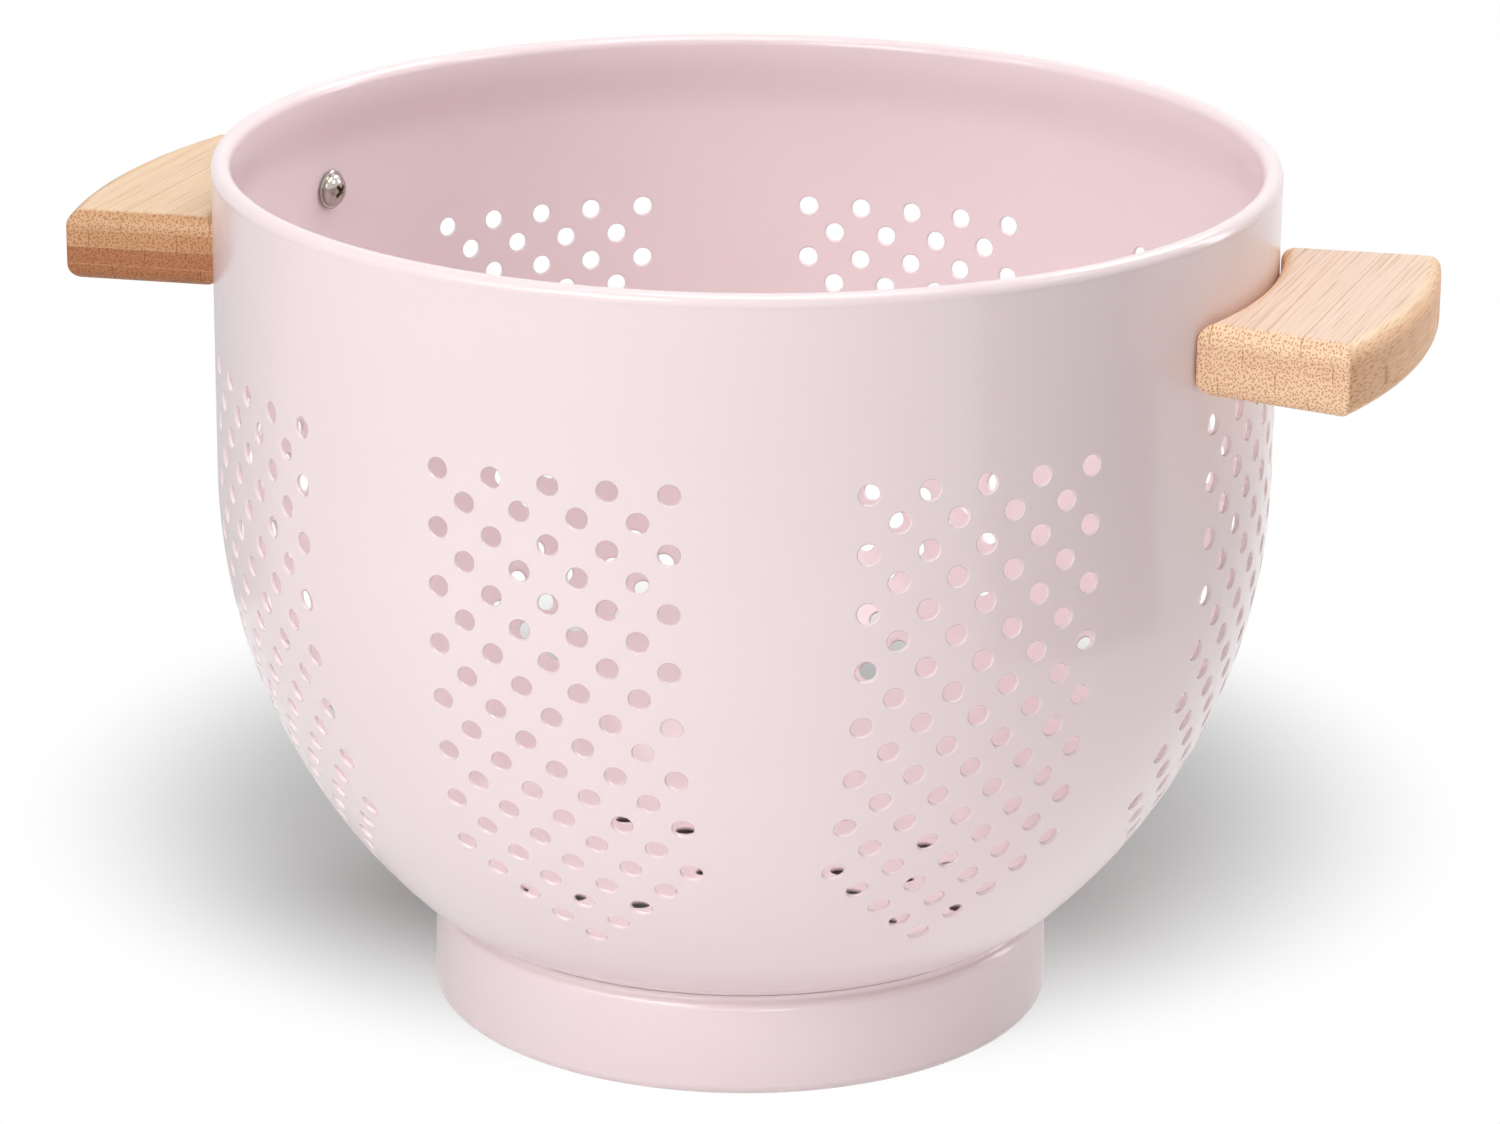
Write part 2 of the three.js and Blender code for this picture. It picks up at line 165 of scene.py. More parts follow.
def sheet_at(distance):
    """Radius, height and downward turn of the sheet's outside, at distances along it."""
    distance = np.asarray(distance, float)
    base_down = math.pi / 2 - (distance - FLAT_END) / BASE_CURVE
    side_down = CURVE_TURN - (distance - BASE_END) / SIDE_CURVE
    parts = [distance <= FLAT_END, distance <= BASE_END, distance <= SIDE_END]
    radius = np.select(
        parts,
        [
            distance,
            FLAT_END + BASE_CURVE * np.cos(base_down),
            SIDE_CENTRE + SIDE_CURVE * np.cos(side_down),
        ],
        WALL_RADIUS,
    )
    height = np.select(
        parts,
        [
            np.full_like(distance, BOTTOM_HEIGHT),
            BASE_CENTRE_Z - BASE_CURVE * np.sin(base_down),
            WALL_FOOT - SIDE_CURVE * np.sin(side_down),
        ],
        WALL_FOOT + distance - SIDE_END,
    )
    down = np.select(parts, [np.full_like(distance, math.pi / 2), base_down, side_down], 0.0)
    return radius, height, down


def sheet_points(distance, angle, depth):
    """Points and outward directions of the sheet, a depth in from its outside."""
    radius, height, down = sheet_at(distance)
    normal = np.stack([np.cos(down) * np.cos(angle), np.cos(down) * np.sin(angle), -np.sin(down)], -1)
    outside = np.stack([radius * np.cos(angle), radius * np.sin(angle), height], -1)
    return outside - np.asarray(depth)[..., None] * normal, normal


def spread_radius(distance):
    """Radius at which the sheet lies when it is spread flat with its angles kept."""
    steps = np.linspace(FLAT_END, WALL_END, SPREAD_STEPS + 1)
    middle = (steps[1:] + steps[:-1]) / 2
    growth = np.concatenate([[0], np.cumsum((steps[1] - steps[0]) / sheet_at(middle)[0])])
    distance = np.asarray(distance, float)
    return np.where(distance <= FLAT_END, distance, FLAT_END * np.exp(np.interp(distance, steps, growth)))


def spread(distance, angle):
    """Places on the sheet, as they lie when it is spread flat."""
    radius = spread_radius(distance)
    return np.stack([radius * np.cos(angle), radius * np.sin(angle)], -1)


def hole_centres():
    """Distance along the sheet, panel or ring angle and offset across, for every drain hole."""
    centres = []
    top_row = SIDE_END + TOP_ROW_HEIGHT - WALL_FOOT
    for panel in range(PANELS):
        turn = math.tau * panel / PANELS
        for column in range(-SIDE_COLUMNS, SIDE_COLUMNS + 1):
            for row in range(abs(column) % 2, LAST_ROW - abs(column) + 1, 2):
                centres.append((top_row - row * HOLE_PITCH, turn, column * HOLE_PITCH))
    for ring in range(1, BOTTOM_RINGS + 1):
        count = ring * BOTTOM_RING_HOLES
        for i in range(count):
            centres.append((ring * BOTTOM_RING_PITCH, math.tau * (i + 0.5) / count, 0.0))
    return np.array(centres)


def hole_ring(centres, radius):
    """Distances and angles of the corners round each hole, at a radius from its centre."""
    turn = math.tau * np.arange(HOLE_SIDES) / HOLE_SIDES
    distance = centres[:, :1] + radius * np.cos(turn)
    across = centres[:, 2:] + radius * np.sin(turn)
    return distance, centres[:, 1:2] + np.arcsin(across / sheet_at(distance)[0])


def sheet_grid(centres):
    """Plain points that carry the sheet's shape, kept clear of the holes."""
    rings = [(0.0, 1)]
    for distance in np.arange(SHEET_STEP, WALL_END - SHEET_STEP / 2, SHEET_STEP):
        across = math.tau * float(sheet_at(distance)[0]) / SHEET_STEP
        rings.append((distance, min(ROUND_SEGMENTS, SHEET_MULTIPLE * math.ceil(across / SHEET_MULTIPLE))))
    distance = np.concatenate([np.full(count, ring) for ring, count in rings])
    angle = np.concatenate([math.tau * np.arange(count) / count for _, count in rings])
    points, _ = sheet_points(distance, angle, np.zeros_like(distance))
    hole_angle = centres[:, 1] + np.arcsin(centres[:, 2] / sheet_at(centres[:, 0])[0])
    middles, _ = sheet_points(centres[:, 0], hole_angle, np.zeros(len(centres)))
    gap = np.array([np.min(np.linalg.norm(middles - point, axis=1)) for point in points])
    clear = gap > HOLE_RADIUS + SHEET_CLEAR * HOLE_EDGE
    return distance[clear], angle[clear]


def profile_normals(profile, closed):
    """Directions square to a profile that runs counter-clockwise round its material."""
    points = np.array(profile)
    if closed:
        tangent = np.roll(points, -1, 0) - np.roll(points, 1, 0)
    else:
        tangent = np.gradient(points, axis=0)
    normal = np.stack([tangent[:, 1], -tangent[:, 0]], -1)
    return normal / np.linalg.norm(normal, axis=1, keepdims=True)


def ring_points(profile, normals, angles):
    """A profile turned about Z: points and normals, one row of angles for each profile point."""
    cos, sin = np.cos(angles), np.sin(angles)
    points = [np.stack([r * cos, r * sin, np.full_like(cos, z)], -1) for r, z in profile]
    directions = [np.stack([nr * cos, nr * sin, np.full_like(cos, nz)], -1) for nr, nz in normals]
    return np.concatenate(points), np.concatenate(directions)


def strip_faces(first, second, count):
    """Quads between two loops of the same count."""
    faces = []
    for i in range(count):
        j = (i + 1) % count
        faces.append((first + i, first + j, second + j, second + i))
    return faces


def smooth_object(name, points, normals, faces):
    """A piece from points in millimetres, shaded by the directions given for them."""
    mesh = bpy.data.meshes.new(name)
    mesh.from_pydata((np.asarray(points) * MM).tolist(), [], faces)
    mesh.shade_smooth()
    mesh.normals_split_custom_set_from_vertices(np.asarray(normals).tolist())
    piece = bpy.data.objects.new(name, mesh)
    bpy.context.scene.collection.objects.link(piece)
    return piece


def rim_profile():
    """From the outside of the wall over the rolled edge to the inside of the wall."""
    start = -math.degrees(math.acos((WALL_RADIUS - BEAD_R) / RIM_BEAD))
    bead = arc(BEAD_R, BEAD_Z, RIM_BEAD, start, 180, 3 * ARC_STEPS)
    wall = [(WALL_RADIUS, BEAD_Z - RIM_BEAD)]
    bead_inner = BEAD_R - RIM_BEAD
    wall_inner = WALL_RADIUS - SHEET
    hem = []
    for share in np.linspace(0, 1, 2 * ARC_STEPS + 1)[1:-1]:
        blend = (1 - math.cos(math.pi * share)) / 2
        hem.append((bead_inner + (wall_inner - bead_inner) * blend, BEAD_Z - RIM_HEM * share))
    return wall + bead + hem


def sheet_net(centres):
    """Distances and angles of the sheet's points, rim first and holes last, and triangles between them."""
    grid_distance, grid_angle = sheet_grid(centres)
    rim_angle = math.tau * np.arange(ROUND_SEGMENTS) / ROUND_SEGMENTS
    ring_distance, ring_angle = hole_ring(centres, HOLE_RADIUS + HOLE_EDGE)
    distance = np.concatenate([np.full(ROUND_SEGMENTS, WALL_END), grid_distance, ring_distance.ravel()])
    angle = np.concatenate([rim_angle, grid_angle, ring_angle.ravel()])
    flat = [Vector(point) for point in spread(distance, angle)]
    plain = len(flat) - ring_distance.size
    edges = []
    for first in range(plain, len(flat), HOLE_SIDES):
        edges += [(first + i, first + (i + 1) % HOLE_SIDES) for i in range(HOLE_SIDES)]
    _, _, net, sources, _, _ = delaunay_2d_cdt(flat, edges, [], 0, SHEET_JOIN)
    triangles = []
    for face in net:
        corners = tuple(sources[i][0] for i in face)
        holes = {(i - plain) // HOLE_SIDES if i >= plain else -1 for i in corners}
        if len(holes) > 1 or holes == {-1}:
            triangles.append(corners)
    return distance, angle, triangles


def make_bowl():
    """The sheet's outside and inside, the walls of its holes and the rolled rim."""
    centres = hole_centres()
    distance, angle, triangles = sheet_net(centres)
    count = len(distance)
    corners = len(centres) * HOLE_SIDES
    plain = count - corners
    outer, outward = sheet_points(distance, angle, np.zeros(count))
    inner, _ = sheet_points(distance, angle, np.full(count, SHEET))
    points, normals = [outer, inner], [outward, -outward]
    faces = [(a, c, b) for a, b, c in triangles]
    faces += [(count + a, count + b, count + c) for a, b, c in triangles]

    wall_distance, wall_angle = hole_ring(centres, HOLE_RADIUS)
    for depth in (HOLE_EDGE, SHEET - HOLE_EDGE):
        ring, _ = sheet_points(wall_distance, wall_angle, np.full(wall_distance.shape, depth))
        inwards = ring.mean(axis=1, keepdims=True) - ring
        points.append(ring.reshape(-1, 3))
        normals.append((inwards / np.linalg.norm(inwards, axis=2, keepdims=True)).reshape(-1, 3))
    for first in range(0, corners, HOLE_SIDES):
        loops = [plain + first, 2 * count + first, 2 * count + corners + first, count + plain + first]
        for start, end in zip(loops, loops[1:]):
            faces += strip_faces(end, start, HOLE_SIDES)

    profile = rim_profile()
    rim, rim_normals = ring_points(profile, profile_normals(profile, False), angle[:ROUND_SEGMENTS])
    rim_start = 2 * count + 2 * corners
    points.append(rim)
    normals.append(rim_normals)
    loops = [0] + [rim_start + k * ROUND_SEGMENTS for k in range(len(profile))] + [count]
    for start, end in zip(loops, loops[1:]):
        faces += strip_faces(start, end, ROUND_SEGMENTS)
    return smooth_object("bowl_enamelled", np.concatenate(points), np.concatenate(normals), faces)


def make_turned(name, profile, segments):
    """A closed profile turned about Z."""
    angles = math.tau * np.arange(segments) / segments
    points, normals = ring_points(profile, profile_normals(profile, True), angles)
    faces = []
    for k in range(len(profile)):
        faces += strip_faces(k * segments, (k + 1) % len(profile) * segments, segments)
    return smooth_object(name, points, normals, faces)


def touching_circle(first, first_radius, second, second_radius, radius):
    """Centre of a circle that touches two others from outside, on their right-hand side."""
    first, second = np.array(first), np.array(second)
    between = second - first
    length = np.linalg.norm(between)
    reach, far_reach = first_radius + radius, second_radius + radius
    along = (reach**2 - far_reach**2 + length**2) / (2 * length)
    aside = math.sqrt(reach**2 - along**2)
    unit = between / length
    return first + along * unit + aside * np.array([unit[1], -unit[0]])


def angle_to(start, end):
    return math.degrees(math.atan2(end[1] - start[1], end[0] - start[0]))


def make_foot_ring():
    """A strip turned in at the bottom and the top, joined to the bowl by a fillet of enamel."""
    roll_centre = FOOT_RADIUS - FOOT_ROLL
    shoulder = (FOOT_RADIUS - FOOT_TAPER - FOOT_SHOULDER, FOOT_TOP - FOOT_SHOULDER)
    base = (FLAT_END, BASE_CENTRE_Z)
    fillet = touching_circle(shoulder, FOOT_SHOULDER, base, BASE_CURVE, FOOT_FILLET)
    end_r = roll_centre - FOOT_LEDGE
    half = FOOT_SHEET / 2
    shoulder_end = angle_to(shoulder, fillet)
    fillet_end = angle_to(fillet, base) - 360
    outside = [
        *arc(end_r + half, half, half, 180, 270, ARC_STEPS),
        *arc(roll_centre, FOOT_ROLL, FOOT_ROLL, -90, 0, 2 * ARC_STEPS),
        *arc(*shoulder, FOOT_SHOULDER, 0, shoulder_end, 2 * ARC_STEPS),
        *arc(*fillet, FOOT_FILLET, shoulder_end - 180, fillet_end, ARC_STEPS)[1:],
    ]
    lip_r = shoulder[0] - FOOT_LIP
    inside = [
        *arc(lip_r, FOOT_TOP - half, half, 90, 270, ARC_STEPS),
        *arc(*shoulder, FOOT_SHOULDER - FOOT_SHEET, 90, 0, ARC_STEPS),
        *arc(roll_centre, FOOT_ROLL, FOOT_ROLL - FOOT_SHEET, 0, -90, ARC_STEPS),
        *arc(end_r + half, half, half, 90, 180, ARC_STEPS)[:-1],
    ]
    return make_turned("foot_ring_enamelled", outside + inside, ROUND_SEGMENTS)


# Handles

HANDLE_INNER = WALL_RADIUS + HANDLE_SEAT
HANDLE_OUTER = WALL_RADIUS + HANDLE_DEPTH


def handle_outline(inset):
    """Outline of a handle seen from above, drawn in by an inset, with softened corners."""
    inner, outer = HANDLE_INNER + inset, HANDLE_OUTER - inset
    start = Vector((math.sqrt(HANDLE_INNER**2 - (HANDLE_INNER_LENGTH / 2) ** 2), HANDLE_INNER_LENGTH / 2))
    end = Vector((math.sqrt(HANDLE_OUTER**2 - (HANDLE_OUTER_LENGTH / 2) ** 2), HANDLE_OUTER_LENGTH / 2))
    along = (end - start).normalized()
    foot = start + inset * Vector((along.y, -along.x))
    offset = foot.dot(along)
    off_axis = foot - offset * along
    near = off_axis + math.sqrt(inner**2 - off_axis.length_squared) * along
    far = off_axis + math.sqrt(outer**2 - off_axis.length_squared) * along
    soft = HANDLE_CORNER * (1 - HANDLE_CORNER_LOSS * inset / HANDLE_EDGE)

    def on_arc(radius, corner):
        turn = math.atan2(corner.y, corner.x) - soft / radius
        angles = np.linspace(-turn, turn, HANDLE_ARC_STEPS + 1)
        return [Vector((radius * math.cos(a), radius * math.sin(a))) for a in angles]

    def bend(before, corner, after):
        shares = np.linspace(0, 1, ARC_STEPS + 1)[1:-1].tolist()
        return [(1 - t) ** 2 * before + 2 * t * (1 - t) * corner + t * t * after for t in shares]

    outside = on_arc(outer, far)
    inside = on_arc(inner, near)[::-1]
    flip = Vector((1, -1))
    far_end, near_end = far - soft * along, near + soft * along
    points = [*outside, *bend(outside[-1], far, far_end), far_end, near_end]
    points += [*bend(near_end, near, inside[0]), *inside]
    points += [*bend(inside[-1], near * flip, near_end * flip), near_end * flip, far_end * flip]
    return points + bend(far_end * flip, far * flip, outside[0])


def make_handle(name, side):
    """A bamboo block with rounded edges. Its grain attribute holds its own length, depth and height."""
    half = HANDLE_THICKNESS / 2
    layers = []
    for start, level in ((-90, HANDLE_EDGE - half), (0, half - HANDLE_EDGE)):
        for turn in np.radians(np.linspace(start, start + 90, ARC_STEPS + 1)):
            layers.append((HANDLE_EDGE * (1 - math.cos(turn)), level + HANDLE_EDGE * math.sin(turn)))
    outlines = [(handle_outline(inset), height) for inset, height in layers]
    count = len(outlines[0][0])
    points = [(p.x, p.y, height) for outline, height in outlines for p in outline]
    faces = []
    for k in range(len(layers) - 1):
        faces += strip_faces(k * count, (k + 1) * count, count)
    top = (len(layers) - 1) * count
    faces.append(tuple(reversed(range(count))))
    faces.append(tuple(range(top, top + count)))
    mesh = bpy.data.meshes.new(name)
    turned = Matrix.Rotation(side, 4, "Z")
    place = Matrix.Translation((0, 0, HANDLE_MIDDLE)) @ turned
    mesh.from_pydata([MM * (place @ Vector(p)) for p in points], [], faces)
    grain = mesh.attributes.new("grain", "FLOAT_VECTOR", "POINT")
    for item, (x, y, z) in zip(grain.data, points):
        item.vector = (y, x - HANDLE_INNER + BAMBOO_APART * side, z)
    mesh.shade_smooth()
    piece = bpy.data.objects.new(name, mesh)
    bpy.context.scene.collection.objects.link(piece)
    return piece


# Screws


def recess_cutter():
    """A cross with arms that narrow downwards, above a head whose seat is at height 0."""
    cutter = bmesh.new()
    levels = ((HEAD_HEIGHT + RECESS_OVERCUT, 1.0), (HEAD_HEIGHT - RECESS_DEPTH, RECESS_NARROWING))
    loops = []
    for height, scale in levels:
        reach, slot = scale * RECESS_SPAN / 2, scale * RECESS_SLOT / 2
        corner = [(reach, -slot), (reach, slot), (slot, slot)]
        loop = []
        for quarter in range(4):
            turn = Matrix.Rotation(quarter * math.pi / 2 + math.radians(RECESS_TURN), 3, "Z")
            loop += [cutter.verts.new(turn @ Vector((x, y, height))) for x, y in corner]
        loops.append(loop)
    top, bottom = loops
    for i in range(len(top)):
        j = (i + 1) % len(top)
        cutter.faces.new((bottom[i], bottom[j], top[j], top[i]))
    cutter.faces.new(top)
    cutter.faces.new(bottom[::-1])
    return cutter


def screw_body():
    """A turned screw with a domed head, head upwards and its seat at height 0."""
    head, dome, shank = HEAD_DIAMETER / 2, DOME_DIAMETER / 2, SCREW_DIAMETER / 2
    profile = [
        (shank - SCREW_TIP, -SCREW_LENGTH),
        (shank, SCREW_TIP - SCREW_LENGTH),
        (shank, 0),
        (head, 0),
        (head, HEAD_EDGE - HEAD_CHAMFER),
        (head - HEAD_CHAMFER, HEAD_EDGE),
    ]
    for turn in np.radians(np.linspace(0, 90, 2 * ARC_STEPS + 1))[:-1]:
        profile.append((dome * math.cos(turn), HEAD_EDGE + (HEAD_HEIGHT - HEAD_EDGE) * math.sin(turn)))
    body = bmesh.new()
    loops = []
    angles = math.tau * np.arange(HEAD_SEGMENTS) / HEAD_SEGMENTS
    for radius, height in profile:
        corners = [(radius * math.cos(a), radius * math.sin(a), height) for a in angles]
        loops.append([body.verts.new(corner) for corner in corners])
    for lower, upper in zip(loops, loops[1:]):
        for i in range(HEAD_SEGMENTS):
            j = (i + 1) % HEAD_SEGMENTS
            body.faces.new((lower[i], lower[j], upper[j], upper[i]))
    body.faces.new(loops[0][::-1])
    tip = body.verts.new((0, 0, HEAD_HEIGHT))
    for i in range(HEAD_SEGMENTS):
        body.faces.new((loops[-1][i], loops[-1][(i + 1) % HEAD_SEGMENTS], tip))
    return body


def object_from(body, name):
    mesh = bpy.data.meshes.new(name)
    body.to_mesh(mesh)
    body.free()
    piece = bpy.data.objects.new(name, mesh)
    bpy.context.scene.collection.objects.link(piece)
    return piece


def screw_mesh():
    """The screw with its recess cut, head upwards."""
    screw = object_from(screw_body(), "screw_blank")
    cutter = object_from(recess_cutter(), "screw_recess")
    cut = screw.modifiers.new("recess", "BOOLEAN")
    cut.object = cutter
    cut.solver = "EXACT"
    bpy.context.view_layer.update()
    mesh = bpy.data.meshes.new_from_object(screw.evaluated_get(bpy.context.evaluated_depsgraph_get()))
    bpy.data.objects.remove(screw)
    bpy.data.objects.remove(cutter)
    mesh.shade_smooth()
    mesh.set_sharp_from_angle(angle=math.radians(SHARP_ANGLE))
    return mesh


def make_screw(name, mesh, turn):
    """A screw driven outwards through the wall, at a turn round the bowl."""
    own = mesh.copy()
    own.name = name
    seat = Matrix.Translation((WALL_RADIUS - SHEET - HEAD_SEAT, 0, HANDLE_MIDDLE))
    own.transform(Matrix.Rotation(turn, 4, "Z") @ seat @ Matrix.Rotation(-math.pi / 2, 4, "Y"))
    own.transform(Matrix.Scale(MM, 4))
    piece = bpy.data.objects.new(name, own)
    bpy.context.scene.collection.objects.link(piece)
    return piece


# Materials


def srgb(red, green, blue):
    """A colour as the eye reads it from a screen, 0 to 255, as linear light."""
    values = np.array([red, green, blue]) / 255
    linear = np.where(values <= 0.04045, values / 12.92, ((values + 0.055) / 1.055) ** 2.4)
    return (*linear.tolist(), 1.0)


def grey(level):
    return srgb(level, level, level)


class Shader:
    """A material's node tree, with short calls to add nodes and links."""

    def __init__(self, name):
        self.material = bpy.data.materials.new(name)
        self.material.use_nodes = True
        self.tree = self.material.node_tree
        self.surface = self.tree.nodes["Principled BSDF"]
        self.output = self.tree.nodes["Material Output"]

    def node(self, kind, inputs=None, **settings):
        node = self.tree.nodes.new(kind)
        for key, value in settings.items():
            setattr(node, key, value)
        for socket, value in (inputs or {}).items():
            self.put(node.inputs[socket], value)
        return node

    def put(self, socket, value):
        if isinstance(value, bpy.types.NodeSocket):
            self.tree.links.new(value, socket)
        else:
            socket.default_value = value

    def set(self, **values):
        for key, value in values.items():
            self.put(self.surface.inputs[key.replace("_", " ")], value)

    def math(self, operation, *values):
        return self.node("ShaderNodeMath", dict(enumerate(values)), operation=operation).outputs[0]

    def scaled(self, vector, factors):
        return self.node("ShaderNodeVectorMath", {0: vector, 1: factors}, operation="MULTIPLY").outputs[0]

    def noise(self, vector, scale, detail=2.0):
        inputs = {"Vector": vector, "Scale": scale, "Detail": detail}
        return self.node("ShaderNodeTexNoise", inputs).outputs[0]

    def mix(self, share, first, second, blend="MIX"):
        node = self.node("ShaderNodeMix", data_type="RGBA", blend_type=blend)
        self.put(node.inputs[0], share)
        self.put(node.inputs[6], first)
        self.put(node.inputs[7], second)
        return node.outputs[2]

    def remap(self, value, low, high, to_low, to_high, curve="LINEAR"):
        inputs = {0: value, 1: low, 2: high, 3: to_low, 4: to_high}
        return self.node("ShaderNodeMapRange", inputs, interpolation_type=curve).outputs[0]

    def bump(self, height, distance, strength):
        inputs = {"Height": height, "Distance": distance, "Strength": strength}
        return self.node("ShaderNodeBump", inputs).outputs[0]


def enamel_material():
    """Pale pink semi-gloss enamel with a faint orange-peel skin and slight clouding."""
    shader = Shader("pink_enamel")
    place = shader.node("ShaderNodeTexCoord").outputs["Object"]
    cloud = shader.noise(place, 9.0)
    colour = shader.mix(cloud, srgb(243, 226, 228), srgb(240, 221, 223))
    peel = shader.noise(place, 420.0, 1.0)
    haze = shader.noise(place, 35.0)
    shader.set(
        Base_Color=colour,
        Roughness=shader.remap(haze, 0.3, 0.7, 0.15, 0.19),
        Normal=shader.bump(peel, 0.000012, 0.1),
    )
    return shader.material


def bamboo_material(name, bottom, middle, top, face):
    """Laminated bamboo: four boards of strips, fibre bundles along the handle and a sanded flat top
    painted paler as a painted sheen.
    """
    shader = Shader(name)
    grain = shader.node("ShaderNodeAttribute", attribute_name="grain").outputs["Vector"]
    axes = shader.node("ShaderNodeSeparateXYZ", {0: grain}).outputs

    # Boards, each of strips with tints of their own
    from_bottom = shader.math("ADD", axes[2], HANDLE_THICKNESS / 2 - BAMBOO_SANDED)
    layer = shader.math("FLOOR", shader.math("DIVIDE", from_bottom, BAMBOO_LAYER))
    board = shader.mix(shader.math("GREATER_THAN", layer, 1.5), bottom, middle)
    board = shader.mix(shader.math("GREATER_THAN", layer, 2.5), board, top)
    shifted = shader.math("ADD", axes[1], shader.math("MULTIPLY", layer, BAMBOO_SHIFT))
    strip = shader.math("FLOOR", shader.math("DIVIDE", shifted, BAMBOO_STRIP))
    seed = shader.node("ShaderNodeCombineXYZ", {0: layer, 1: strip}).outputs[0]
    tint = shader.node("ShaderNodeTexWhiteNoise", {"Vector": seed}).outputs["Value"]
    board = shader.mix(shader.math("MULTIPLY", tint, 0.3), board, srgb(226, 178, 140))

    # Ends, sanded top painted paler where it faces up as a painted sheen, and long sides tinted deeper tan
    facing = shader.node("ShaderNodeNewGeometry").outputs["Normal"]
    normal = shader.node("ShaderNodeSeparateXYZ", {0: facing}).outputs
    end_grain = shader.remap(shader.math("ABSOLUTE", normal[1]), 0.04, 0.4, 0.0, 1.0)
    # Painted sheen: the flat top, where it faces up, takes the paler face colour
    board = shader.mix(shader.remap(normal[2], 0.92, 1.0, 0.0, 1.0), board, face)
    outer_side = shader.remap(shader.math("ABSOLUTE", normal[0]), 0.6, 0.9, 0.0, 1.0)
    board = shader.mix(outer_side, board, srgb(252, 230, 208), "MULTIPLY")

    # Streaks along the grain
    streaks = shader.noise(shader.scaled(grain, (0.014, 3.0, 3.0)), 1.0, 4.0)
    streak_share = shader.remap(streaks, 0.52, 0.66, 0.0, 0.6)
    board = shader.mix(streak_share, board, srgb(232, 200, 172), "MULTIPLY")

    # Fibre bundles: dots in the ends, broken lines along the handle
    drift = shader.noise(shader.scaled(grain, (0.03, 0.2, 0.2)), 1.0)
    depth = shader.math("ADD", axes[1], drift)
    height = shader.math("ADD", axes[2], drift)
    cut = shader.node("ShaderNodeCombineXYZ", {0: depth, 1: height}).outputs[0]
    inputs = {"Vector": cut, "Scale": BAMBOO_BUNDLES}
    bundles = shader.node("ShaderNodeTexVoronoi", inputs, voronoi_dimensions="2D").outputs["Distance"]
    dots = shader.remap(bundles, 0.16, 0.36, 1.0, 0.0)
    broken = shader.noise(shader.scaled(grain, (0.06, 1.4, 1.4)), 1.0)
    along = shader.remap(broken, 0.45, 0.65, 0.0, 0.5)
    dot_share = shader.math("MULTIPLY", dots, shader.remap(end_grain, 0.0, 1.0, along, 0.8))
    board = shader.mix(dot_share, board, srgb(196, 152, 112), "MULTIPLY")

    # Glue lines between boards and between strips
    layer_gap = shader.math("PINGPONG", from_bottom, BAMBOO_LAYER / 2)
    strip_gap = shader.math("PINGPONG", shifted, BAMBOO_STRIP / 2)
    upright = shader.remap(shader.math("ABSOLUTE", normal[2]), 0.5, 0.9, 0.1, 0.0)
    layer_seam = shader.remap(layer_gap, 0.0, BAMBOO_GLUE, upright, 0.0)
    strip_seam = shader.remap(strip_gap, 0.0, BAMBOO_GLUE, 0.85, 0.0)
    board = shader.mix(layer_seam, board, srgb(255, 236, 210))
    shader.set(
        Base_Color=shader.mix(strip_seam, board, srgb(208, 170, 140), "MULTIPLY"),
        Roughness=shader.remap(streaks, 0.3, 0.7, 0.4, 0.52),
        Normal=shader.bump(shader.math("SUBTRACT", streaks, dots), 0.00006, 0.25),
    )
    return shader.material


def metal_material(name, colour, roughness):
    """Turned metal with fine marks."""
    shader = Shader(name)
    place = shader.node("ShaderNodeTexCoord").outputs["Object"]
    marks = shader.noise(place, 1500.0, 3.0)
    shader.set(
        Base_Color=shader.mix(marks, colour, srgb(150, 145, 138)),
        Metallic=1.0,
        Roughness=shader.remap(marks, 0.3, 0.7, roughness * 0.8, roughness * 1.3),
        Normal=shader.bump(marks, 0.00001, 0.2),
    )
    return shader.material


def floor_material():
    """White table with the lamps' shadow deepened by painted shadow in a disc under and behind the object,
    plain white outside it.
    """
    shader = Shader("white_table")
    path = shader.node("ShaderNodeLightPath").outputs
    seen = shader.math("MAXIMUM", path["Is Camera Ray"], path["Is Glossy Ray"])
    seen = shader.math("MAXIMUM", seen, path["Is Transmission Ray"])
    # Painted shadow: the camera sees the table in a darker grey than the grey that lights the object
    colour = shader.mix(path["Is Camera Ray"], grey(TABLE_GREY), grey(PAINTED_SHADOW_GREY))
    shader.set(Base_Color=colour, Roughness=0.9, Specular_IOR_Level=0.0)
    place = shader.node("ShaderNodeTexCoord").outputs["Object"]
    ends = {0: place, 1: as_seen((0, PAINTED_SHADOW_BACK, 0))}
    reach = shader.node("ShaderNodeVectorMath", ends, operation="DISTANCE").outputs["Value"]
    # Outside the disc the table glows plain white; inside it the painted shadow shows
    share = shader.remap(reach, PAINTED_SHADOW_NEAR, PAINTED_SHADOW_FAR, SHADE_GLOW, 1.0, "SMOOTHSTEP")
    glow = shader.node("ShaderNodeEmission", {"Strength": 1.0}).outputs[0]
    inputs = {0: shader.math("MULTIPLY", seen, share), 1: shader.surface.outputs[0], 2: glow}
    mixed = shader.node("ShaderNodeMixShader", inputs).outputs[0]
    shader.put(shader.output.inputs["Surface"], mixed)
    return shader.material


# Stage


def as_seen(place):
    """A place given as the camera sees the object, right, away and up, turned into the frame."""
    return Matrix.Rotation(math.radians(CAMERA_TURN), 3, "Z") @ Vector(place)


def stage_sheet(name, corners, material):
    """A flat sheet of the studio, which is no part of the object."""
    mesh = bpy.data.meshes.new(name)
    mesh.from_pydata(corners, [], [(0, 1, 2, 3)])
    mesh.materials.append(material)
    sheet = bpy.data.objects.new(name, mesh)
    bpy.context.scene.collection.objects.link(sheet)
    return sheet


def make_floor():
    signs = ((-1, -1), (1, -1), (1, 1), (-1, 1))
    stage_sheet("table", [(TABLE_REACH * x, TABLE_REACH * y, 0) for x, y in signs], floor_material())


